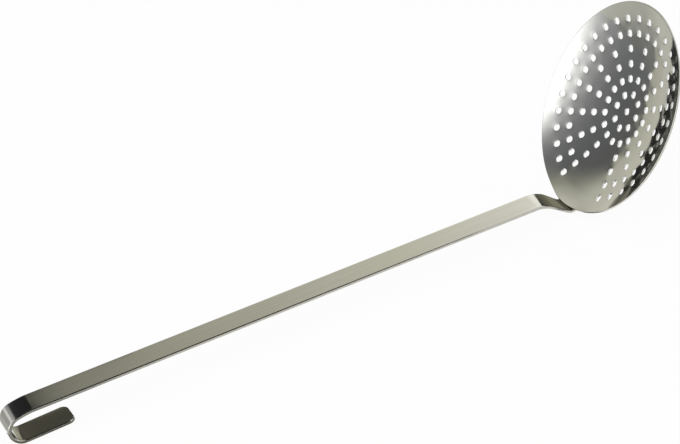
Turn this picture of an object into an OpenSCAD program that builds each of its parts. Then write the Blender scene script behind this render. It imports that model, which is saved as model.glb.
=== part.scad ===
// Kitchen skimmer: a perforated shallow bowl, spot-welded to a flat strap handle that ends in a hanging hook.
// It lies as on a table: +X runs along the handle to the hook, +Y is across it, +Z is up.
// The hook's leg and the bend under the bowl touch z = 0. The origin is below the middle of the whole length.

/* [Bowl] */
// Diameter of the bowl's mouth, across the inner edge of its rim
mouth_d = 119; // [100:1:150]
// Depth of the hollow below the rim
bowl_depth = 13.5; // [10:0.5:20]
// Thickness of the bowl's sheet
bowl_sheet = 1; // [0.6:0.1:1.6]
// Angle between the plane of the rim and the handle's straight run
bowl_tilt = 55.6; // [45:0.1:75]

/* [Holes] */
// Diameter of a drain hole
hole_d = 4; // [3:0.1:4.6]
// Distance of the first ring of holes from the centre hole, along the sheet
ring_first = 10; // [9:0.2:12]
// Distance from each ring to the next, along the sheet
ring_pitch = 8.4; // [7.6:0.1:10]
// Holes in the first ring
ring_holes = 8; // [6:1:9]
// Widest spacing in a ring, past which the ring has twice as many holes
hole_spacing = 14; // [12:0.5:18]
// Least sheet left between a hole's centre and the rim
rim_margin = 6; // [4:0.5:12]
// Least sheet left between a hole and the welded end of the handle
tang_margin = 1; // [0.6:0.1:2]

/* [Handle] */
// Width of the strap
strap_w = 16; // [12:0.5:20]
// Thickness of the strap
strap_t = 2; // [1.5:0.1:3]
// Length of the straight run
run_length = 302; // [180:2:380]
// Distance from the bowl's centre to the tip of the welded end
tang_reach = 23; // [16:0.5:30]

/* [Neck] */
// Clearance between the rim and the strap beside it
neck_gap = 0.4; // [0.3:0.05:1]
// Straight stretch between the bend beside the rim and the bend under it
neck_length = 10.5; // [4:0.5:20]
// Inner radius of the bend from the run down to the rim
neck_bend_r = 24; // [10:1:40]
// Inner radius of the bend that tucks the strap under the bowl
tuck_bend_r = 1.5; // [1:0.1:1.7]

/* [Hook] */
// Inner radius of the hook
hook_r = 7; // [5:0.5:15]
// Straight leg of the hook, past its bend
leg_length = 27; // [12:1:50]
// Radius of the leg's two corners
leg_corner_r = 3; // [1:0.5:6]

/* [Spot welds] */
// Clearance between bowl and strap, which the weld nuggets bridge
weld_gap = 0.3; // [0.2:0.05:0.5]
// Diameter of a weld nugget
weld_d = 5; // [3:0.5:7]
// Spot welds in the row
weld_count = 3; // [2:1:3]
// Distance from the tip of the welded end to the first weld
weld_start = 8; // [6:0.5:10]
// Distance from each weld to the next
weld_pitch = 10.5; // [8:0.5:11]
// Depth of the mark that the welding electrode leaves on the strap
mark_depth = 0.3; // [0.1:0.05:0.6]
// Diameter of the electrode's mark
mark_d = 6; // [3:0.5:8]

/* [Hidden] */

// How far a cutting shape runs past what it cuts
overrun = 1;
// How much thinner the strap is in a bend, on each face
bend_thins = 0.01;
round_fn = 180;
hole_fn = 48;

// The bowl is part of a hollow sphere. Its own frame has the sphere's axis as Z, with the rim's inner edge at z = 0,
// and X towards the handle. Points here are [x, z] in the plane of symmetry.
mouth_r = mouth_d / 2;
inner_r = (mouth_r * mouth_r + bowl_depth * bowl_depth) / (2 * bowl_depth);
back_r = inner_r + bowl_sheet;
rim_angle = asin(mouth_r / inner_r);
centre_z = inner_r * cos(rim_angle);
rim_point = [back_r * sin(rim_angle), centre_z - back_r * cos(rim_angle)];

// The holes lie in rings at even steps along the sheet.
ring_room = arc_length(rim_angle) - rim_margin - ring_first;
ring_count = 1 + floor(ring_room / ring_pitch);

// The strap's upper face follows the back of the bowl, turns up round the rim and bends over into the run.
tang_r = back_r + weld_gap;
neck_x = rim_point.x + neck_gap;
tuck_x = neck_x - tuck_bend_r;
tuck_z = centre_z - sqrt(pow(tang_r - tuck_bend_r, 2) - tuck_x * tuck_x);
tuck_angle = asin(tuck_x / (tang_r - tuck_bend_r));
tip_angle = arc_angle(tang_reach);
neck_centre = [neck_x + strap_t + neck_bend_r, tuck_z + neck_length];
run_dir = [cos(bowl_tilt), sin(bowl_tilt)];
run_up = [-sin(bowl_tilt), cos(bowl_tilt)];
run_start = neck_centre + neck_bend_r * run_up;
hook_centre = run_start + run_length * run_dir - hook_r * run_up;

// The skimmer lies on two rounds, the tuck under the rim and the hook. Their common tangent is the table.
tuck_out_r = tuck_bend_r + strap_t;
hook_out_r = hook_r + strap_t;
span = hook_centre - [tuck_x, tuck_z];
lie_angle = atan2(span.y, span.x) - asin((hook_out_r - tuck_out_r) / norm(span));
hook_sweep = 180 + bowl_tilt - lie_angle;
floor_z = lying(hook_centre).y - hook_out_r;
middle_x = (lying(hook_centre).x + hook_out_r + lying([-rim_point.x, rim_point.y]).x) / 2;

// Length along the inner face from the bowl's axis to a line at this angle from it, and back
function arc_length(angle) = inner_r * angle * PI / 180;
function arc_angle(length) = length / inner_r * 180 / PI;

// A point of the bowl's frame, turned as the skimmer lies
function lying(p) = [
    p.x * cos(lie_angle) + p.y * sin(lie_angle),
    p.y * cos(lie_angle) - p.x * sin(lie_angle)
];

// Holes in the ring at this angle: the first ring's number, doubled until they are close enough
function holes_at(angle, n = ring_holes) =
    2 * PI * inner_r * sin(angle) / n > hole_spacing ? holes_at(angle, 2 * n) : n;

// Distance of a point in plan from the middle line of the welded end, whose tip is a half circle
tip_centre_x = tang_reach + strap_w / 2;
function from_tang(x, y) = norm([min(x - tip_centre_x, 0), y]);
function clear_of_tang(x, y) = from_tang(x, y) > (strap_w + hole_d) / 2 + tang_margin;

// Moves children from the bowl's frame to where the skimmer lies
module lie_down() {
    translate([-middle_x, 0, -floor_z]) rotate([0, lie_angle, 0]) children();
}

// Turns children about the sphere's centre, so that their -Z axis meets the sheet at an angle from the bowl's axis
module on_sphere(angle) {
    translate([0, 0, centre_z]) rotate([0, -angle, 0]) children();
}

// One drain hole, punched square to the sheet
module drain_hole() {
    translate([0, 0, -back_r - overrun]) cylinder(d = hole_d, h = bowl_sheet + 2 * overrun, $fn = hole_fn);
}

module drain_holes() {
    on_sphere(0) drain_hole();
    for (ring = [0 : ring_count - 1]) {
        angle = arc_angle(ring_first + ring * ring_pitch);
        holes = holes_at(angle);
        reach = inner_r * sin(angle);
        for (i = [0 : holes - 1]) {
            turn = i * 360 / holes;
            if (clear_of_tang(reach * cos(turn), reach * sin(turn)))
                rotate([0, 0, turn]) on_sphere(angle) drain_hole();
        }
    }
}

// Half of the sheet's section, about the sphere's centre
module sheet_section() {
    far = 2 * back_r;
    intersection() {
        difference() {
            circle(r = back_r, $fn = 2 * round_fn);
            circle(r = inner_r, $fn = 2 * round_fn);
        }
        polygon([[0, 0], [0, -far], [far * sin(rim_angle), -far * cos(rim_angle)]]);
    }
}

module bowl() {
    color([0.78, 0.78, 0.75]) lie_down() difference() {
        translate([0, 0, centre_z]) rotate_extrude($fn = round_fn) sheet_section();
        drain_holes();
    }
}

// The strap is built as it is bent, from the welded end to the hook. Each stretch draws itself from the middle of its
// upper face, along +X with its upper face at z = 0, and puts its children at its far end.
module straight(length) {
    translate([0, -strap_w / 2, -strap_t]) cube([length, strap_w, strap_t]);
    translate([length, 0, 0]) children();
}

// A bend about a line at this height, towards the upper face where the height is positive. It is a ring cut off square
// where the strap comes in and where it goes on. Bending thins the strap by a hair on each face.
module bend(height, sweep, thins = bend_thins) {
    outer_r = abs(height) + (height > 0 ? strap_t : 0) - thins;
    width = strap_w - 2 * thins;
    intersection() {
        translate([0, width / 2, height]) rotate([90, 0, 0]) difference() {
            cylinder(r = outer_r, h = width, $fn = round_fn);
            translate([0, 0, -overrun])
                cylinder(r = outer_r - strap_t + 2 * thins, h = width + 2 * overrun, $fn = round_fn);
        }
        if (sweep < 180) intersection() {
            half_space(height, outer_r);
            past_bend(height, sweep) mirror([1, 0, 0]) half_space(height, outer_r);
        }
        else union() {
            half_space(height, outer_r);
            past_bend(height, sweep) mirror([1, 0, 0]) half_space(height, outer_r);
        }
    }
    past_bend(height, sweep) children();
}

// The side of x = 0 that a bend runs into
module half_space(height, outer_r) {
    half = outer_r + overrun;
    translate([0, -strap_w / 2 - overrun, height - half]) cube([half, strap_w + 2 * overrun, 2 * half]);
}

// Moves children to the far end of a bend
module past_bend(height, sweep) {
    translate([0, 0, height]) rotate([0, height > 0 ? -sweep : sweep, 0]) translate([0, 0, -height]) children();
}

// Cuts the two corners off a strap's end at x = 0, which points to +X and is centred on z = 0
module corner_cut(r) {
    depth = strap_t + 2 * overrun;
    for (side = [-1, 1]) {
        translate([-r, side * (strap_w / 2 - r), -depth / 2]) difference() {
            translate([0, side > 0 ? 0 : -r - overrun, 0]) cube([r + overrun, r + overrun, depth]);
            translate([0, 0, -overrun]) cylinder(r = r, h = depth + 2 * overrun, $fn = hole_fn);
        }
    }
}

// The hook's leg, which lies flat on the table
module leg() {
    difference() {
        straight(leg_length);
        translate([leg_length, 0, -strap_t / 2]) corner_cut(leg_corner_r);
    }
}

// The shallow mark of the electrode, on the strap's lower face
module electrode_mark() {
    ball_r = (mark_d * mark_d / 4 + mark_depth * mark_depth) / (2 * mark_depth);
    translate([0, 0, mark_depth - tang_r - strap_t - ball_r]) sphere(r = ball_r, $fn = round_fn);
}

module handle() {
    color([0.72, 0.71, 0.66]) lie_down() difference() {
        on_sphere(tip_angle) translate([0, 0, -tang_r])
            bend(tang_r, tuck_angle - tip_angle)
            bend(tuck_bend_r, 90 - tuck_angle, 2 * bend_thins)
            straight(neck_length)
            bend(-strap_t - neck_bend_r, 90 - bowl_tilt)
            straight(run_length)
            bend(-strap_t - hook_r, hook_sweep)
            leg();
        on_sphere(tip_angle) translate([0, 0, -tang_r - strap_t / 2]) mirror([1, 0, 0])
            corner_cut(strap_w / 2);
        for (i = [0 : weld_count - 1]) on_sphere(weld_angle(i)) electrode_mark();
    }
}

function weld_angle(i) = arc_angle(tang_reach + weld_start + i * weld_pitch);

// The nuggets fill the gap between the bowl's back and the strap, each a separate solid
module spot_welds() {
    color([0.6, 0.58, 0.55]) lie_down() for (i = [0 : weld_count - 1]) difference() {
        intersection() {
            on_sphere(weld_angle(i)) translate([0, 0, -tang_r - overrun])
                cylinder(d = weld_d, h = 2 * overrun + weld_gap, $fn = hole_fn);
            translate([0, weld_d, centre_z]) rotate([90, 0, 0])
                cylinder(r = tang_r, h = 2 * weld_d, $fn = 4 * round_fn);
        }
        translate([0, 0, centre_z]) sphere(r = back_r, $fn = 4 * round_fn);
    }
}

bowl();
handle();
spot_welds();
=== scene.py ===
import math

import bpy
from mathutils import Matrix, Vector
from mathutils.geometry import delaunay_2d_cdt


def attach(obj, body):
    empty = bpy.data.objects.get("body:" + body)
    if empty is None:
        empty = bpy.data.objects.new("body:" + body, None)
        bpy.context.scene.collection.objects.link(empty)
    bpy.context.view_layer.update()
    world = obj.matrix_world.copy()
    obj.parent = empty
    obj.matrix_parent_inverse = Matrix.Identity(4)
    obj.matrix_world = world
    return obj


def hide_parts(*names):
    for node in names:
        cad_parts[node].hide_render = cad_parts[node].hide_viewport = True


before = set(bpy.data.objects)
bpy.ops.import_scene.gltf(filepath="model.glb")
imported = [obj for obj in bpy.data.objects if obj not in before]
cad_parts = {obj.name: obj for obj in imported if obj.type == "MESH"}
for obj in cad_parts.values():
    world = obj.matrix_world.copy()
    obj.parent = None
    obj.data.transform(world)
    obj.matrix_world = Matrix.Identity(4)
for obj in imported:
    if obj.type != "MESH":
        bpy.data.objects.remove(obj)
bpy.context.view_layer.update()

# Sizes are in millimetres, as in the CAD model, and turned into metres where a mesh or a camera is made.
MM = 0.001

# The bowl is part of a hollow sphere. Its own frame has the sphere's axis as Z, the rim's inner edge at z = 0 and
# X towards the handle.
MOUTH_R = 59.5
BOWL_DEPTH = 13.5
BOWL_SHEET = 1.0
INNER_R = (MOUTH_R ** 2 + BOWL_DEPTH ** 2) / (2 * BOWL_DEPTH)
RIM_ANGLE = math.asin(MOUTH_R / INNER_R)
CENTRE_Z = INNER_R * math.cos(RIM_ANGLE)

# Drain holes
HOLE_R = 2.0
RING_FIRST = 10.0
RING_PITCH = 8.4
RING_HOLES = 8
HOLE_SPACING = 14.0
RIM_MARGIN = 6.0
TANG_MARGIN = 1.0

# The strap, from the welded end to the hook
STRAP_W = 16.0
STRAP_T = 2.0
TANG_REACH = 23.0
WELD_GAP = 0.3
NECK_GAP = 0.4
NECK_LENGTH = 10.5
NECK_BEND_R = 24.0
TUCK_BEND_R = 1.5
RUN_LENGTH = 302.0
HOOK_R = 7.0
LEG_LENGTH = 27.0
LEG_CORNER_R = 4.0
BOWL_TILT = math.radians(55.6)

# How the skimmer lies: from the bowl's frame to the table's
LIE_ANGLE = math.radians(54.6749)
LIE_SHIFT = Vector((-166.852, 0, 51.5563))
LIE = Matrix.Rotation(LIE_ANGLE, 3, "Y")

# The camera in the bowl's frame: its up and back axes, and where the rim's centre is from it, along right, up and back
CAMERA_UP = Vector((-0.9001, -0.3909, 0.1926))
CAMERA_BACK = Vector((-0.2503, 0.8255, 0.5058))
CAMERA_OFFSET = Vector((147.19, 63.93, -1250.9))
FOCAL_PX = 2271
PHOTO_W = 680


def lying(p):
    """A point of the bowl's frame, in the table's frame."""
    return LIE @ p + LIE_SHIFT


def new_mesh(name, points, faces, normals, materials, cut_faces):
    mesh = bpy.data.meshes.new(name)
    mesh.from_pydata([p * MM for p in points], [], faces)
    mesh.polygons.foreach_set("use_smooth", [True] * len(mesh.polygons))
    mesh.normals_split_custom_set_from_vertices([n.normalized() for n in normals])
    for material in materials:
        mesh.materials.append(material)
    for i in cut_faces:
        mesh.polygons[i].material_index = 1
    obj = bpy.data.objects.new(name, mesh)
    bpy.context.collection.objects.link(obj)
    return obj


# Sheet pieces. A sheet is drawn flat, as loops of points round it and round its holes, and laid on a surface.
ROUND_STEPS = 6
CUT_ROWS = 1


def loop_normals(loop):
    """For each point of a closed loop, the direction out of the sheet, which lies to the left of the loop."""
    out = []
    for i, p in enumerate(loop):
        along = (loop[(i + 1) % len(loop)] - loop[i - 1]).normalized()
        out.append(Vector((along.y, -along.x)))
    return out


def sheet(name, outline, holes, inside, surface, thickness, rounding, materials):
    """A sheet with rounded edges. surface(p) gives the point and the normal of the front face.

    rounding(lean) gives an edge's radius by the way it faces. The first material is the faces', the second the cut
    edge's."""
    points, normals, faces, cut_faces = [], [], [], []

    def add(p, depth, toward, turn):
        """A vertex at a depth below the point p, whose normal turns from the front face's towards a direction."""
        at, normal = surface(p)
        ahead = (surface(p + toward * 0.01)[0] - at).normalized()
        points.append(at - normal * depth)
        normals.append(normal * math.cos(turn) + ahead * math.sin(turn))
        return len(points) - 1

    front_flat, back_flat, flat, edges = [], [], [], []
    for loop in [outline] + holes:
        leans = loop_normals(loop)
        radii = [rounding(lean) for lean in leans]
        rows = []
        for half in (0, 1):
            for k in range(ROUND_STEPS + 1):
                turn = math.pi / 2 * (k if half == 0 else ROUND_STEPS - k) / ROUND_STEPS
                facing = math.pi - turn if half else turn
                row = []
                for p, lean, radius in zip(loop, leans, radii):
                    depth = radius * (1 - math.cos(turn))
                    inset = radius * (1 - math.sin(turn))
                    row.append(add(p - lean * inset, thickness - depth if half else depth, lean, facing))
                rows.append(row)
        for k, (a, b) in enumerate(zip(rows, rows[1:])):
            if loop is outline and abs(k - ROUND_STEPS) <= CUT_ROWS:
                cut_faces += range(len(faces), len(faces) + len(loop))
            for i in range(len(loop)):
                j = (i + 1) % len(loop)
                faces.append((a[i], b[i], b[j], a[j]))
        start = len(flat)
        flat += [p - lean * radius for p, lean, radius in zip(loop, leans, radii)]
        front_flat += rows[0]
        back_flat += rows[-1]
        edges += [(start + i, start + (i + 1) % len(loop)) for i in range(len(loop))]
    for p in inside:
        flat.append(p)
        front_flat.append(add(p, 0, Vector((1, 0)), 0))
        back_flat.append(add(p, thickness, Vector((1, 0)), math.pi))
    _, _, triangles, origin, _, _ = delaunay_2d_cdt(flat, edges, [], 1, 1e-6)
    rings = [(Vector((sum(p.x for p in h) / len(h), sum(p.y for p in h) / len(h))), h) for h in holes]
    reach = [(c, max((p - c).length for p in h)) for c, h in rings]
    for t in triangles:
        a, b, c = (origin[i][0] for i in t)
        middle = (flat[a] + flat[b] + flat[c]) / 3
        if any((middle - centre).length < r for centre, r in reach):
            continue
        if (flat[b] - flat[a]).cross(flat[c] - flat[a]) < 0:
            b, c = c, b
        faces.append((front_flat[a], front_flat[b], front_flat[c]))
        faces.append((back_flat[a], back_flat[c], back_flat[b]))
    return new_mesh(name, points, faces, normals, materials, cut_faces)


# Bowl
HOLE_STEPS = 28
RIM_STEPS = 240
BOWL_ROUNDING = 0.28
GRID = 1.4

# Each punched hole draws the sheet in round it, and the bend of the handle pushes the rim up above it
DIMPLE_DEPTH = 0.061
DIMPLE_W = 1.4
LIFT = 1.8
LIFT_FROM = 51.0
LIFT_HALF = math.radians(24)


def dimple(p):
    """How far the sheet is drawn in at a place, and how that changes along x and y."""
    depth, slope = 0.0, Vector((0, 0))
    for centre in HOLE_CENTRES:
        away = p - centre
        if away.length < HOLE_R + 4 * DIMPLE_W:
            here = DIMPLE_DEPTH * math.exp(-max(0.0, away.length - HOLE_R) / DIMPLE_W)
            depth += here
            slope -= away.normalized() * here / DIMPLE_W
    return depth, slope


def rim_lift(p):
    """How far the rim is pushed up along the bowl's axis at a place, and how that changes along x and y."""
    turn = math.atan2(p.y, p.x)
    if abs(turn) > LIFT_HALF or p.length < LIFT_FROM:
        return 0.0, Vector((0, 0))
    side = p.normalized()
    reach = INNER_R * RIM_ANGLE - LIFT_FROM
    rise = (p.length - LIFT_FROM) / reach
    wave = math.pi / 2 * turn / LIFT_HALF
    outward = LIFT * 2 * rise / reach * math.cos(wave) ** 2
    around = -LIFT * rise ** 2 * math.sin(2 * wave) * math.pi / 2 / LIFT_HALF / p.length
    return LIFT * rise ** 2 * math.cos(wave) ** 2, side * outward + Vector((-side.y, side.x)) * around


def on_bowl(p):
    """The place on the bowl's inner face at a distance along the sheet from the middle, and the face's normal."""
    angle = p.length / INNER_R
    side = p.normalized() if p.length > 1e-9 else Vector((1, 0))
    out = Vector((side.x * math.sin(angle), side.y * math.sin(angle), -math.cos(angle)))
    depth, slope = dimple(p)
    lift, steep = rim_lift(p)
    fall = slope - steep * math.cos(angle)
    outward = Vector((side.x * math.cos(angle), side.y * math.cos(angle), math.sin(angle)))
    around = Vector((-side.y, side.x, 0))
    normal = (-out + outward * fall.dot(side) + around * fall.dot(around.to_2d())).normalized()
    return lying(out * (INNER_R + depth) + Vector((0, 0, CENTRE_Z + lift))), LIE @ normal


def ring_holes(angle):
    n = RING_HOLES
    while 2 * math.pi * INNER_R * math.sin(angle) / n > HOLE_SPACING:
        n *= 2
    return n


def drain_holes():
    """Each hole's distance along the sheet from the middle, and its turn."""
    holes = [(0.0, 0.0)]
    tip_centre = TANG_REACH + STRAP_W / 2
    ring = RING_FIRST
    while ring <= INNER_R * RIM_ANGLE - RIM_MARGIN:
        n = ring_holes(ring / INNER_R)
        reach = INNER_R * math.sin(ring / INNER_R)
        for i in range(n):
            turn = 2 * math.pi * i / n
            x, y = reach * math.cos(turn), reach * math.sin(turn)
            if math.hypot(min(x - tip_centre, 0), y) > STRAP_W / 2 + HOLE_R + TANG_MARGIN:
                holes.append((ring, turn))
        ring += RING_PITCH
    return holes


def hole_loop(ring, turn):
    """A round hole punched square to the sheet, drawn flat. It runs clockwise."""
    axis = Matrix.Rotation(turn, 3, "Z") @ Matrix.Rotation(-ring / INNER_R, 3, "Y")
    opening = math.asin(HOLE_R / INNER_R)
    loop = []
    for i in range(HOLE_STEPS):
        a = -2 * math.pi * i / HOLE_STEPS
        p = axis @ Vector((math.sin(opening) * math.cos(a), math.sin(opening) * math.sin(a), -math.cos(opening)))
        angle = math.atan2(math.hypot(p.x, p.y), -p.z)
        loop.append(Vector((p.x, p.y)).normalized() * angle * INNER_R)
    return loop


HOLE_CENTRES = [Vector((ring * math.cos(turn), ring * math.sin(turn))) for ring, turn in drain_holes()]


def make_bowl(materials):
    rim = INNER_R * RIM_ANGLE
    outline = [Vector((math.cos(a), math.sin(a))) * rim
               for a in (2 * math.pi * i / RIM_STEPS for i in range(RIM_STEPS))]
    holes = [hole_loop(*h) for h in drain_holes()]
    centres = [sum(h, Vector((0, 0))) / len(h) for h in holes]
    inside = []
    rows = int(rim / GRID) + 1
    for row in range(-rows, rows + 1):
        for column in range(-rows, rows + 1):
            p = Vector((GRID * (column + (row % 2) / 2), GRID * row * math.sqrt(0.75)))
            if p.length < rim - GRID / 2 and all((p - c).length > HOLE_R + GRID / 3 for c in centres):
                inside.append(p)
    return sheet("bowl_sheet", outline, holes, inside, on_bowl, BOWL_SHEET, lambda lean: BOWL_ROUNDING, materials)


# Handle
FAR_ROUNDING = 0.15
NEAR_ROUNDING = 0.7
BEND_STEP = math.radians(3)
RUN_STEP = 6.0
ACROSS = 8


# The bends as they really run, between the same straight stretches: softer under the rim, tighter at the neck, which
# leans over the rim a little, more so on its far side, and with a slight lead-in before the hook, whose leg rises to
# its end
LIFTED_R = 34.0
SOFT_TUCK_R = 3.4
TIGHT_NECK_R = 18.0
NECK_LEAN = math.radians(2.3)
NECK_SKEW = math.radians(0.46)
LEADS = [(2.0, math.radians(5)), (7.7, math.radians(8))]
LEAD_START = 7.3
LED_HOOK_R = 6.46
LEG_RISE = math.radians(1.1)


def strap_path(y):
    """The strap's stretches at a place across it: length along the upper face and turn towards that face.

    They run from the welded end on."""
    tang_r = INNER_R + BOWL_SHEET + WELD_GAP
    neck_x = (INNER_R + BOWL_SHEET) * math.sin(RIM_ANGLE) + NECK_GAP
    tip_angle = TANG_REACH / INNER_R
    neck = math.pi / 2 - BOWL_TILT

    def tuck_of(r):
        """Where a tuck of some radius starts along the tang, and how high it ends."""
        angle = math.asin((neck_x - r) / (tang_r - r))
        return angle, -(tang_r - r) * math.cos(angle)

    # The neck's and the run's lines meet in a corner, which is further on where the neck leans more
    lean = NECK_LEAN - NECK_SKEW * y
    cad_cut = (NECK_BEND_R + STRAP_T) * math.tan(neck / 2)
    corner = Vector((neck_x, tuck_of(TUCK_BEND_R)[1] + NECK_LENGTH + cad_cut))
    # Under the lifted rim the tang bends more, as far as the tuck
    lift_angle = LIFT_FROM / INNER_R
    lift_centre = Vector((math.sin(lift_angle), -math.cos(lift_angle))) * (tang_r - LIFTED_R)
    tuck_angle = math.asin((neck_x - SOFT_TUCK_R - lift_centre.x) / (LIFTED_R - SOFT_TUCK_R))
    tuck_top = lift_centre.y - (LIFTED_R - SOFT_TUCK_R) * math.cos(tuck_angle)
    tuck_end = Vector((neck_x - SOFT_TUCK_R * (1 - math.cos(lean)), tuck_top + SOFT_TUCK_R * math.sin(lean)))
    rise = Vector((-math.sin(lean), math.cos(lean)))
    run_way = Vector((math.sin(neck), math.cos(neck)))
    gap = corner - tuck_end
    neck_reach = gap.cross(run_way) / rise.cross(run_way)
    run_gain = gap.cross(rise) / rise.cross(run_way)
    tang = lift_angle - tip_angle
    lifted = tuck_angle - lift_angle
    tuck = math.pi / 2 - tuck_angle + lean
    neck += lean
    cut = (TIGHT_NECK_R + STRAP_T) * math.tan(neck / 2)
    run = RUN_LENGTH + cad_cut - run_gain - cut - LEAD_START
    hook = math.pi + BOWL_TILT - LIE_ANGLE + LEG_RISE - sum(turn for _, turn in LEADS)
    start = Vector((tang_r * math.sin(tip_angle), CENTRE_Z - tang_r * math.cos(tip_angle)))
    return start, tip_angle, [
        (tang_r * tang, tang), (LIFTED_R * lifted, lifted), (SOFT_TUCK_R * tuck, tuck), (neck_reach - cut, 0),
        ((TIGHT_NECK_R + STRAP_T) * neck, -neck), (run, 0),
        *[(length, -turn) for length, turn in LEADS],
        ((LED_HOOK_R + STRAP_T) * hook, -hook), (LEG_LENGTH, 0)]


PATH = strap_path(0)[2]
STRAP_LENGTH = sum(length for length, _ in PATH)


def along_strap(p):
    """The place on the strap's upper face at a distance along it from the welded end and across it, and the way on."""
    start, heading, path = strap_path(p.y)
    at = start.copy()
    left = p.x
    for i, (length, turn) in enumerate(path):
        last = i == len(path) - 1
        part = left if last else min(left, length)
        if turn and part > 0:
            r = length / abs(turn)
            bend = part / r * (1 if turn > 0 else -1)
            side = Vector((-math.sin(heading), math.cos(heading))) * (1 if turn > 0 else -1)
            centre = at + side * r
            spoke = at - centre
            at = centre + Vector((spoke.x * math.cos(bend) - spoke.y * math.sin(bend),
                                  spoke.x * math.sin(bend) + spoke.y * math.cos(bend)))
            heading += bend
        else:
            at = at + Vector((math.cos(heading), math.sin(heading))) * part
        left -= part
        if left <= 0:
            break
    return Vector((at.x, p.y, at.y)), Vector((math.cos(heading), 0, math.sin(heading)))


def on_strap(p):
    """The place on the strap's upper face, and the face's normal."""
    at, way = along_strap(p)
    across = along_strap(p + Vector((0, 0.05)))[0] - along_strap(p - Vector((0, 0.05)))[0]
    return lying(at), LIE @ way.cross(across).normalized()


def stations():
    """Distances along the strap at which its mesh has a row of points."""
    out, done = [], 0.0
    for length, turn in PATH:
        steps = max(1, round(abs(turn) / BEND_STEP if turn else length / RUN_STEP))
        out += [done + length * i / steps for i in range(steps)]
        done += length
    return out + [done]


def strap_outline():
    """The strap drawn flat: a half circle at the welded end, rounded corners at the leg's end."""
    half = STRAP_W / 2
    rows = [s for s in stations() if half + 0.5 < s < STRAP_LENGTH - LEG_CORNER_R - 0.5]
    tip = [Vector((half, 0)) + half * Vector((math.cos(a), math.sin(a)))
           for a in (math.pi / 2 + math.pi * i / 40 for i in range(41))]
    lower = [Vector((s, -half)) for s in rows]
    corner = Vector((STRAP_LENGTH - LEG_CORNER_R, half - LEG_CORNER_R))
    quarter = [math.pi / 2 * i / 10 for i in range(11)]
    low_corner = [Vector((corner.x, -corner.y)) + LEG_CORNER_R * Vector((math.sin(a), -math.cos(a))) for a in quarter]
    high_corner = [corner + LEG_CORNER_R * Vector((math.cos(a), math.sin(a))) for a in quarter]
    upper = [Vector((s, half)) for s in reversed(rows)]
    return tip + lower + low_corner + high_corner + upper


def strap_rounding(lean):
    """The strap's edge is more worn on its near side."""
    return FAR_ROUNDING + (NEAR_ROUNDING - FAR_ROUNDING) * (1 + lean.y) / 2


def make_handle(materials):
    half = STRAP_W / 2
    inside = []
    for s in stations():
        for i in range(1, ACROSS):
            y = half * (2 * i / ACROSS - 1)
            tip = math.hypot(min(s - half, 0), y) < half - 1.2
            if tip and s < STRAP_LENGTH - 1.5:
                inside.append(Vector((s, y)))
    return sheet("handle_strap", strap_outline(), [], inside, on_strap, STRAP_T, strap_rounding, materials)


# Materials
def noise(nodes, links, coords, scale, detail):
    stretch = nodes.new("ShaderNodeMapping")
    stretch.inputs["Scale"].default_value = scale
    texture = nodes.new("ShaderNodeTexNoise")
    texture.inputs["Scale"].default_value = 1.0
    texture.inputs["Detail"].default_value = detail
    links.new(coords, stretch.inputs["Vector"])
    links.new(stretch.outputs["Vector"], texture.inputs["Vector"])
    return texture.outputs["Fac"]


def spread(nodes, links, value, low, high):
    """A noise's usual range, turned into another range."""
    grade = nodes.new("ShaderNodeMapRange")
    grade.inputs["From Min"].default_value = 0.3
    grade.inputs["From Max"].default_value = 0.7
    grade.inputs["To Min"].default_value = low
    grade.inputs["To Max"].default_value = high
    links.new(value, grade.inputs["Value"])
    return grade.outputs["Result"]


def steel(name, color, shade, roughness, streaks, grain, depth):
    """Steel whose colour and gloss vary in streaks, and whose grain catches the light."""
    material = bpy.data.materials.new(name)
    material.use_nodes = True
    nodes, links = material.node_tree.nodes, material.node_tree.links
    shader = nodes["Principled BSDF"]
    shader.inputs["Metallic"].default_value = 1.0
    coords = nodes.new("ShaderNodeTexCoord").outputs["Object"]
    broad = noise(nodes, links, coords, streaks, 3.0)
    fine = noise(nodes, links, coords, grain, 4.0)
    mix = nodes.new("ShaderNodeMix")
    mix.data_type = "RGBA"
    mix.inputs["A"].default_value = (*(c * shade for c in color), 1)
    mix.inputs["B"].default_value = (*color, 1)
    links.new(spread(nodes, links, broad, 0.0, 1.0), mix.inputs["Factor"])
    links.new(mix.outputs["Result"], shader.inputs["Base Color"])
    links.new(spread(nodes, links, fine, roughness * 0.8, roughness * 1.2), shader.inputs["Roughness"])
    bump = nodes.new("ShaderNodeBump")
    bump.inputs["Strength"].default_value = 1.0
    bump.inputs["Distance"].default_value = depth
    links.new(fine, bump.inputs["Height"])
    links.new(bump.outputs["Normal"], shader.inputs["Normal"])
    return material


# Studio
WALL_Y = -0.43
WAIST_X = 0.02
WAIST_Z = 0.2
HIGH_FLARE = 0.45
LOW_FLARE = 0.2
EDGE_SOFT = 0.008
EDGE_SPREAD = 0.12

# Brightness of the pale card by its place along X, and of the room behind it by direction in degrees from +X
CARD_STOPS = [(-0.36, (1.22, 1.22, 1.14)), (-0.28, (0.94, 0.94, 0.85)), (-0.2, (0.79, 0.79, 0.67)),
              (-0.12, (0.68, 0.67, 0.57)), (-0.08, (0.61, 0.6, 0.51)), (-0.035, (0.56, 0.555, 0.465)),
              (0.01, (0.49, 0.485, 0.405)), (0.07, (0.39, 0.385, 0.32))]
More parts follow.
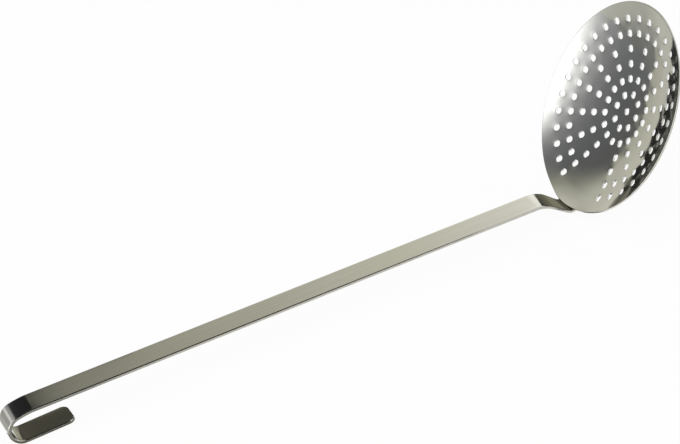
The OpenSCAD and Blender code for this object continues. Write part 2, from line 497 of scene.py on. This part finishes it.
# Higher up the card is darker
CARD_LOW, CARD_HIGH = 0.2, 0.34
CARD_FADE = 0.8
ROOM_CENTRE = (-0.12, 0.0)
ROOM_R = 2.0
ROOM_STOPS = [(-100, (0.36, 0.35, 0.3)), (-93, (0.32, 0.315, 0.265)), (-90.9, (0.28, 0.275, 0.23)),
              (-90.6, (0.015, 0.015, 0.015)), (-70, (0.03, 0.03, 0.035)),
              (-65, (0.115, 0.117, 0.113)), (-50, (0.125, 0.13, 0.132)), (-42, (0.155, 0.16, 0.16)),
              (-36, (0.195, 0.2, 0.2)), (-30, (0.26, 0.265, 0.265)), (-26, (0.37, 0.375, 0.37)),
              (-22, (0.53, 0.53, 0.525)), (-18, (0.85, 0.85, 0.84)), (-14, (1.3, 1.3, 1.29)), (-10, (1.8, 1.8, 1.8)),
              (10, (1.8, 1.8, 1.8)), (25, (0.9, 0.9, 0.9)), (40, (0.2, 0.2, 0.2)), (80, (0.12, 0.12, 0.12))]
CEILING_STOPS = [(-1.5, (0.95, 0.95, 0.92)), (-1.18, (0.85, 0.85, 0.82)), (-1.06, (0.2, 0.2, 0.19)),
                 (-0.64, (0.09, 0.09, 0.08)), (-0.47, (0.07, 0.07, 0.065)), (-0.36, (0.015, 0.015, 0.018))]
FRONT_STOPS = [(-1.5, (0.95, 0.95, 0.92)), (-1.15, (0.85, 0.85, 0.82)), (-1.0, (0.16, 0.16, 0.15)), (-0.6, (0.08, 0.08, 0.075)),
               (-0.5, (0.05, 0.05, 0.045)), (-0.2, (0.015, 0.015, 0.015))]
LOW_STOPS = [(0.0, (0.02, 0.02, 0.02)), (0.049, (0.02, 0.02, 0.02)), (0.055, (0.11, 0.107, 0.085)),
             (0.07, (0.24, 0.235, 0.19)), (0.08, (0.3, 0.295, 0.24))]
LEFT_STOPS = [(-0.3, (0.42, 0.41, 0.34)), (-0.16, (0.32, 0.31, 0.26)), (-0.13, (0.2, 0.19, 0.15)),
              (-0.118, (0.13, 0.125, 0.1))]
# The table next to the strap as metal sees it, by place along X: pale, with a painted shadow that darkens it towards
# the hook
NEAR_SHADOW_STOPS = [(-0.15, (0.95, 0.95, 0.93)), (0.1, (0.85, 0.85, 0.82)), (0.15, (0.55, 0.55, 0.52)),
              (0.175, (0.4, 0.4, 0.37)), (0.22, (0.45, 0.45, 0.42))]
# Painted dark reflection on the leg's top, by place along X, lighter towards the bend
LEG_STOPS = [(0.15, (0.065, 0.064, 0.052)), (0.172, (0.075, 0.073, 0.058)), (0.184, (0.08, 0.077, 0.06)),
             (0.19, (0.1, 0.096, 0.075)), (0.2, (0.16, 0.15, 0.12))]
# Painted dark reflection inside the hook's bend, by place along X, with a painted highlight stripe near x 0.167
HOOK_FLAG_STOPS = [(0.12, (0.15, 0.145, 0.11)), (0.16, (0.3, 0.29, 0.23)), (0.167, (0.55, 0.53, 0.43)),
                   (0.17, (0.4, 0.39, 0.32)), (0.185, (0.16, 0.155, 0.12))]
# Painted dark olive reflection for the neck, by height, darker higher up
NECK_STOPS = [(0.005, (0.26, 0.25, 0.19)), (0.0085, (0.25, 0.24, 0.18)), (0.0115, (0.17, 0.165, 0.12)),
              (0.0165, (0.125, 0.12, 0.085))]
# Painted grey reflection on the hook's bend, by place along X, lighter further along X
HOOK_GREY_STOPS = [(0.205, (0.07, 0.07, 0.075)), (0.222, (0.18, 0.18, 0.185)), (0.238, (0.4, 0.4, 0.4)),
              (0.28, (0.55, 0.55, 0.55))]
ROOM_H = 3.2
# Near the table the room is brighter
LOW_GLOW = 1.35
LOW_GLOW_TOP = 0.4


def reflected_only(obj):
    """A card that only shows in reflections."""
    obj.visible_camera = False
    obj.visible_diffuse = False
    obj.visible_transmission = False
    obj.visible_volume_scatter = False
    obj.visible_shadow = False


def card(name, corners, material):
    mesh = bpy.data.meshes.new(name)
    mesh.from_pydata(corners, [], [tuple(range(len(corners)))])
    mesh.materials.append(material)
    obj = bpy.data.objects.new(name, mesh)
    bpy.context.collection.objects.link(obj)
    reflected_only(obj)
    return obj


# How bright a card is where it is seen by way of two or more reflections
DEEP = 0.2


def dim_deep(nodes, links, strength):
    """Dims a glow where it is seen by way of two or more reflections."""
    path = nodes.new("ShaderNodeLightPath")
    deep = nodes.new("ShaderNodeMapRange")
    deep.inputs["From Min"].default_value = 1.0
    deep.inputs["From Max"].default_value = 2.0
    deep.inputs["To Min"].default_value = 1.0
    deep.inputs["To Max"].default_value = DEEP
    links.new(path.outputs["Glossy Depth"], deep.inputs["Value"])
    links.new(deep.outputs["Result"], strength)


def glow_material(name):
    material = bpy.data.materials.new(name)
    material.use_nodes = True
    nodes, links = material.node_tree.nodes, material.node_tree.links
    nodes.clear()
    glow = nodes.new("ShaderNodeEmission")
    out = nodes.new("ShaderNodeOutputMaterial")
    links.new(glow.outputs["Emission"], out.inputs["Surface"])
    dim_deep(nodes, links, glow.inputs["Strength"])
    return material, nodes, links, glow.inputs["Color"]


def dim_by(nodes, links, paint, value, low, high, at_low, at_high):
    """Multiplies a card's brightness by a factor that changes with a value."""
    fade = nodes.new("ShaderNodeMapRange")
    fade.inputs["From Min"].default_value = low
    fade.inputs["From Max"].default_value = high
    fade.inputs["To Min"].default_value = at_low
    fade.inputs["To Max"].default_value = at_high
    links.new(value, fade.inputs["Value"])
    strength = paint.node.inputs["Strength"]
    links.new(maths(nodes, links, "MULTIPLY", strength.links[0].from_socket, fade.outputs["Result"]), strength)


def plain_glow(name, color):
    material, nodes, links, paint = glow_material(name)
    paint.default_value = (*color, 1)
    return material


def ramp_along(nodes, links, value, stops):
    """Colours at places along a value, in metres."""
    low, high = stops[0][0], stops[-1][0]
    spread = nodes.new("ShaderNodeMapRange")
    spread.inputs["From Min"].default_value = low
    spread.inputs["From Max"].default_value = high
    links.new(value, spread.inputs["Value"])
    ramp = nodes.new("ShaderNodeValToRGB")
    links.new(spread.outputs["Result"], ramp.inputs["Fac"])
    elements = ramp.color_ramp.elements
    while len(elements) < len(stops):
        elements.new(0.5)
    for element, (place, color) in zip(elements, stops):
        element.position = (place - low) / (high - low)
        element.color = (*color, 1)
    return ramp.outputs["Color"]


def maths(nodes, links, kind, a, b):
    node = nodes.new("ShaderNodeMath")
    node.operation = kind
    for socket, value in zip(node.inputs, (a, b)):
        if isinstance(value, (int, float)):
            socket.default_value = value
        else:
            links.new(value, socket)
    return node.outputs["Value"]


def wall_material():
    """The pale card: its edge is crisp near the table, softens higher up, and has a waist."""
    material, nodes, links, paint = glow_material("wall")
    coords = nodes.new("ShaderNodeTexCoord")
    parts = nodes.new("ShaderNodeSeparateXYZ")
    links.new(coords.outputs["Object"], parts.inputs["Vector"])
    x, z = parts.outputs["X"], parts.outputs["Z"]
    above = maths(nodes, links, "SUBTRACT", z, WAIST_Z)
    flare = maths(nodes, links, "MAXIMUM", maths(nodes, links, "MULTIPLY", above, HIGH_FLARE),
                  maths(nodes, links, "MULTIPLY", above, -LOW_FLARE))
    flaring = maths(nodes, links, "SUBTRACT", x, flare)
    beyond = maths(nodes, links, "SUBTRACT", flaring, WAIST_X)
    width = maths(nodes, links, "ADD", maths(nodes, links, "MULTIPLY", z, EDGE_SPREAD), EDGE_SOFT)
    edge = nodes.new("ShaderNodeMapRange")
    edge.interpolation_type = "SMOOTHSTEP"
    edge.inputs["From Min"].default_value = -1.0
    edge.inputs["From Max"].default_value = 1.0
    links.new(maths(nodes, links, "DIVIDE", beyond, width), edge.inputs["Value"])
    links.new(ramp_along(nodes, links, x, CARD_STOPS), paint)
    dim_by(nodes, links, paint, z, CARD_LOW, CARD_HIGH, 1.0, CARD_FADE)
    clear = nodes.new("ShaderNodeBsdfTransparent")
    mix = nodes.new("ShaderNodeMixShader")
    links.new(edge.outputs["Result"], mix.inputs["Fac"])
    links.new(paint.node.outputs["Emission"], mix.inputs[1])
    links.new(clear.outputs["BSDF"], mix.inputs[2])
    out = [n for n in nodes if n.type == "OUTPUT_MATERIAL"][0]
    links.new(mix.outputs["Shader"], out.inputs["Surface"])
    return material


TABLE_TURN = 0.45
TABLE_STOPS = [(0.1, (0.6, 0.6, 0.54)), (0.2, (0.52, 0.52, 0.46)), (0.27, (0.48, 0.48, 0.42)),
               (0.31, (0.44, 0.44, 0.39)), (0.35, (0.36, 0.36, 0.33)), (0.4, (0.3, 0.3, 0.28)),
               (0.47, (0.22, 0.22, 0.205)), (0.6, (0.2, 0.2, 0.19)), (1.2, (0.17, 0.17, 0.165))]
# To the left the table stays pale as far as the card
PALE_TABLE = (0.57, 0.56, 0.49)
PALE_FROM, PALE_TO = 0.05, -0.04


def far_table_material():
    """The table away from the light: darker the further back, and clear where it starts."""
    material, nodes, links, paint = glow_material("far_table")
    coords = nodes.new("ShaderNodeTexCoord")
    parts = nodes.new("ShaderNodeSeparateXYZ")
    links.new(coords.outputs["Object"], parts.inputs["Vector"])
    across = maths(nodes, links, "MULTIPLY", parts.outputs["X"], TABLE_TURN)
    away = maths(nodes, links, "MULTIPLY", maths(nodes, links, "ADD", parts.outputs["Y"], across), -1.0)
    pale = nodes.new("ShaderNodeMapRange")
    pale.inputs["From Min"].default_value = PALE_FROM
    pale.inputs["From Max"].default_value = PALE_TO
    links.new(parts.outputs["X"], pale.inputs["Value"])
    blend = nodes.new("ShaderNodeMix")
    blend.data_type = "RGBA"
    blend.inputs["B"].default_value = (*PALE_TABLE, 1)
    links.new(pale.outputs["Result"], blend.inputs["Factor"])
    links.new(ramp_along(nodes, links, away, TABLE_STOPS), blend.inputs["A"])
    links.new(blend.outputs["Result"], paint)
    far = nodes.new("ShaderNodeMapRange")
    far.inputs["From Min"].default_value = -0.08
    far.inputs["From Max"].default_value = -0.16
    links.new(parts.outputs["Y"], far.inputs["Value"])
    clear = nodes.new("ShaderNodeBsdfTransparent")
    mix = nodes.new("ShaderNodeMixShader")
    links.new(far.outputs["Result"], mix.inputs["Fac"])
    links.new(clear.outputs["BSDF"], mix.inputs[1])
    links.new(paint.node.outputs["Emission"], mix.inputs[2])
    out = [n for n in nodes if n.type == "OUTPUT_MATERIAL"][0]
    links.new(mix.outputs["Shader"], out.inputs["Surface"])
    return material


def graded_card_material(name, stops, axis="X"):
    """A card whose brightness changes along an axis."""
    material, nodes, links, paint = glow_material(name)
    coords = nodes.new("ShaderNodeTexCoord")
    parts = nodes.new("ShaderNodeSeparateXYZ")
    links.new(coords.outputs["Object"], parts.inputs["Vector"])
    links.new(ramp_along(nodes, links, parts.outputs[axis], stops), paint)
    return material


def room_material():
    """The room's brightness by direction from the bowl."""
    material, nodes, links, paint = glow_material("room")
    coords = nodes.new("ShaderNodeTexCoord")
    parts = nodes.new("ShaderNodeSeparateXYZ")
    links.new(coords.outputs["Object"], parts.inputs["Vector"])
    turn = maths(nodes, links, "ARCTAN2", parts.outputs["Y"], parts.outputs["X"])
    degrees = maths(nodes, links, "MULTIPLY", turn, 180 / math.pi)
    links.new(ramp_along(nodes, links, degrees, ROOM_STOPS), paint)
    dim_by(nodes, links, paint, parts.outputs["Z"], 0.0, LOW_GLOW_TOP, LOW_GLOW, 1.0)
    return material


def make_room():
    """An upright band round the bowl, from behind it to the right."""
    points, faces = [], []
    low, high = ROOM_STOPS[0][0], ROOM_STOPS[-1][0]
    steps = 90
    for i in range(steps + 1):
        a = math.radians(low + (high - low) * i / steps)
        points += [(ROOM_R * math.cos(a), ROOM_R * math.sin(a), z) for z in (0, ROOM_H)]
    for i in range(steps):
        faces.append((2 * i, 2 * i + 2, 2 * i + 3, 2 * i + 1))
    mesh = bpy.data.meshes.new("room")
    mesh.from_pydata(points, [], faces)
    mesh.materials.append(room_material())
    room = bpy.data.objects.new("room", mesh)
    room.location = (*ROOM_CENTRE, 0)
    bpy.context.collection.objects.link(room)
    reflected_only(room)


def make_cards():
    card("wall", [(-1.4, WALL_Y, 0), (0.4, WALL_Y, 0), (0.4, WALL_Y, 0.9), (-1.4, WALL_Y, 0.9)], wall_material())
    # A dark olive card far to the left: a painted dark reflection, which the neck shows
    olive = plain_glow("neck_olive_reflection", (0.15, 0.145, 0.11))
    card("low_flag", [(-0.118, -0.40, 0), (-0.08, -0.40, 0), (-0.09, -0.40, 0.07), (-0.118, -0.40, 0.08)],
         graded_card_material("low_flag", LOW_STOPS, "Z"))
    card("left_flag", [(-0.9, -0.40, 0), (-0.118, -0.40, 0), (-0.118, -0.40, 0.07), (-0.9, -0.40, 0.08)],
         graded_card_material("left_flag", LEFT_STOPS))
    card("end_flag", [(-0.9, -0.41, 0), (-0.41, -0.41, 0), (-0.41, -0.41, 0.6), (-0.9, -0.41, 0.6)], olive)
    # Painted dark reflection on the neck
    card("neck_card", [(-0.1295, -0.02, 0.005), (-0.1295, 0.008, 0.005), (-0.1295, 0.008, 0.0165),
                       (-0.1295, -0.02, 0.0165)], graded_card_material("neck_card", NECK_STOPS, "Z"))
    # Painted shade in the tuck where the strap goes under the rim, seen as its reflection
    card("tuck_shade", [(-0.13105, -0.02, 0.0022), (-0.13105, 0.0085, 0.0022), (-0.13105, 0.0085, 0.005),
                       (-0.13105, -0.02, 0.005)], plain_glow("tuck_shade", (0.11, 0.105, 0.075)))
    # Painted dark reflection on the leg's top
    card("leg_card", [(0.12, -0.03, 0.0165), (0.2, -0.03, 0.0165), (0.2, -0.03, 0.0305), (0.12, -0.03, 0.0305)],
         graded_card_material("leg_card", LEG_STOPS))
    # Painted shadow of the strap on the table next to it, seen only in the strap's reflections
    card("near_table_shadow", [(-0.17, 0.0, 0.0004), (0.25, 0.0, 0.0004), (0.25, 0.09, 0.0004), (-0.17, 0.09, 0.0004)],
         graded_card_material("near_table_shadow", NEAR_SHADOW_STOPS))
    card("leg_shade", [(0.15, -0.008, 0.0006), (0.215, -0.008, 0.0006), (0.215, 0.013, 0.0006),
                       (0.15, 0.013, 0.0006)], plain_glow("leg_shade", (0.17, 0.165, 0.13)))
    card("hook_shade", [(0.206, -0.13, 0.0006), (0.29, -0.13, 0.0006), (0.29, -0.012, 0.0006),
                        (0.206, -0.012, 0.0006)], plain_glow("hook_shade", (0.5, 0.5, 0.48)))
    # Painted dark reflection inside the hook's bend, with a painted highlight stripe
    card("hook_flag", [(0.12, -0.05, 0), (0.185, -0.05, 0), (0.185, -0.05, 0.03), (0.12, -0.05, 0.03)],
         graded_card_material("hook_flag", HOOK_FLAG_STOPS))
    card("hook_dim", [(0.248, -0.12, 0), (0.28, -0.099, 0), (0.28, -0.099, 0.042), (0.248, -0.12, 0.042)],
         plain_glow("hook_dim", (0.42, 0.42, 0.4)))
    card("hook_glint", [(0.248, -0.12, 0.042), (0.28, -0.099, 0.042), (0.28, -0.099, 0.066), (0.248, -0.12, 0.066)],
         plain_glow("glint", (0.85, 0.85, 0.85)))
    # Painted grey reflection on the hook's bend, above the painted highlight
    card("hook_grey_reflection", [(0.205, -0.15, 0), (0.28, -0.10, 0), (0.28, -0.10, 0.1), (0.205, -0.15, 0.1)],
         graded_card_material("hook_grey_glow", HOOK_GREY_STOPS))
    card("rim_shade", [(-0.15, 0.012, 0.0008), (-0.126, 0.014, 0.0008), (-0.126, 0.022, 0.0008),
                       (-0.134, 0.03, 0.0008), (-0.15, 0.03, 0.0008)], plain_glow("rim_shade", (0.05, 0.045, 0.035)))
    card("neck_front", [(-0.25, 0.07, 0.001), (-0.084, 0.07, 0.001), (-0.137, 0.07, 0.22), (-0.25, 0.07, 0.22)],
         plain_glow("neck_front", (0.72, 0.72, 0.66)))
    card("far_table", [(-1.4, -0.08, 0.001), (-1.4, -2.2, 0.001), (2.0, -2.2, 0.001), (2.0, -0.08, 0.001)],
         far_table_material())
    card("ceiling", [(-1.5, -2.0, ROOM_H), (2.0, -2.0, ROOM_H), (2.0, 2.0, ROOM_H), (-1.5, 2.0, ROOM_H)],
         graded_card_material("ceiling", CEILING_STOPS))
    card("front", [(-1.5, 1.6, 0.1), (1.6, 1.6, 0.1), (1.6, 1.6, ROOM_H), (-1.5, 1.6, ROOM_H)],
         graded_card_material("front", FRONT_STOPS))
    make_room()


def make_world():
    world = bpy.data.worlds.new("studio")
    bpy.context.scene.world = world
    world.use_nodes = True
    nodes, links = world.node_tree.nodes, world.node_tree.links
    nodes.clear()
    room = nodes.new("ShaderNodeBackground")
    room.inputs["Color"].default_value = (0.9, 0.9, 0.9, 1)
    white = nodes.new("ShaderNodeBackground")
    white.inputs["Color"].default_value = (1, 1, 1, 1)
    mix = nodes.new("ShaderNodeMixShader")
    out = nodes.new("ShaderNodeOutputWorld")
    dim_deep(nodes, links, white.inputs["Strength"])
    links.new(seen(nodes, links, 1.0, 1.0), mix.inputs["Fac"])
    links.new(room.outputs["Background"], mix.inputs[1])
    links.new(white.outputs["Background"], mix.inputs[2])
    links.new(mix.outputs["Shader"], out.inputs["Surface"])


def seen(nodes, links, direct, mirrored):
    """How far a background counts as plain white: for the camera, and for what metal shows."""
    path = nodes.new("ShaderNodeLightPath")
    camera = maths(nodes, links, "MULTIPLY", path.outputs["Is Camera Ray"], direct)
    glossy = maths(nodes, links, "MAXIMUM", path.outputs["Is Glossy Ray"], path.outputs["Is Transmission Ray"])
    return maths(nodes, links, "MAXIMUM", camera, maths(nodes, links, "MULTIPLY", glossy, mirrored))


def make_floor():
    size = 1.5
    mesh = bpy.data.meshes.new("floor")
    mesh.from_pydata([(-size, -size, 0), (size, -size, 0), (size, size, 0), (-size, size, 0)], [], [(0, 1, 2, 3)])
    floor = bpy.data.objects.new("floor", mesh)
    floor.location.z = -0.00005
    bpy.context.collection.objects.link(floor)
    material = bpy.data.materials.new("floor")
    material.use_nodes = True
    nodes, links = material.node_tree.nodes, material.node_tree.links
    nodes.clear()
    diffuse = nodes.new("ShaderNodeBsdfDiffuse")
    diffuse.inputs["Color"].default_value = (0.8, 0.8, 0.8, 1)
    glow = nodes.new("ShaderNodeEmission")
    glow.inputs["Color"].default_value = (1, 1, 1, 1)
    mix = nodes.new("ShaderNodeMixShader")
    out = nodes.new("ShaderNodeOutputMaterial")
    dim_deep(nodes, links, glow.inputs["Strength"])
    links.new(seen(nodes, links, 0.94, 1.0), mix.inputs["Fac"])
    links.new(diffuse.outputs["BSDF"], mix.inputs[1])
    links.new(glow.outputs["Emission"], mix.inputs[2])
    links.new(mix.outputs["Shader"], out.inputs["Surface"])
    mesh.materials.append(material)


def make_lights():
    lamp = bpy.data.lights.new("softbox", "AREA")
    lamp.shape = "RECTANGLE"
    lamp.size, lamp.size_y = 1.2, 1.1
    lamp.energy = 8
    box = bpy.data.objects.new("softbox", lamp)
    box.location = (1.06, 0.15, 0.56)
    box.rotation_euler = (math.pi / 2, 0, math.pi / 2)
    box.visible_camera = False
    box.visible_glossy = False
    bpy.context.collection.objects.link(box)


def make_camera():
    data = bpy.data.cameras.new("camera")
    data.sensor_width = 36
    data.lens = FOCAL_PX * data.sensor_width / PHOTO_W
    data.shift_x = -0.5 / PHOTO_W
    data.shift_y = 0.5 / PHOTO_W
    camera = bpy.data.objects.new("camera", data)
    back = CAMERA_BACK.normalized()
    right = CAMERA_UP.cross(back).normalized()
    up = back.cross(right)
    place = -(right * CAMERA_OFFSET.x + up * CAMERA_OFFSET.y + back * CAMERA_OFFSET.z)
    turned = (LIE @ Matrix((right, up, back)).transposed()).to_4x4()
    camera.matrix_world = Matrix.Translation(lying(place) * MM) @ turned
    bpy.context.collection.objects.link(camera)
    bpy.context.scene.camera = camera


bowl_steel = steel("bowl_steel", (0.77, 0.77, 0.755), 0.95, 0.065, (60, 60, 60), (700, 700, 700), 0.000002)
handle_steel = steel("handle_steel", (0.68, 0.67, 0.63), 0.93, 0.12, (12, 700, 700), (60, 3000, 3000), 0.000002)
cut_steel = steel("cut_steel", (0.6, 0.585, 0.54), 0.85, 0.3, (400, 400, 400), (2500, 2500, 400), 0.00001)
rim_steel = steel("rim_steel", (0.78, 0.76, 0.72), 0.85, 0.35, (300, 300, 300), (2500, 2500, 2500), 0.00001)
bowl = make_bowl([bowl_steel, rim_steel])
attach(bowl, "root")
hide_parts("bowl")
handle = make_handle([handle_steel, cut_steel])
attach(handle, "root")
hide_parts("handle")
weld_steel = steel("weld_steel", (0.56, 0.5, 0.42), 0.7, 0.45, (600, 600, 600), (3000, 3000, 3000), 0.00002)
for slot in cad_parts["spot_welds"].material_slots:
    slot.material = weld_steel
make_world()
make_cards()
make_floor()
make_lights()
make_camera()
bpy.context.scene.view_settings.view_transform = "Standard"
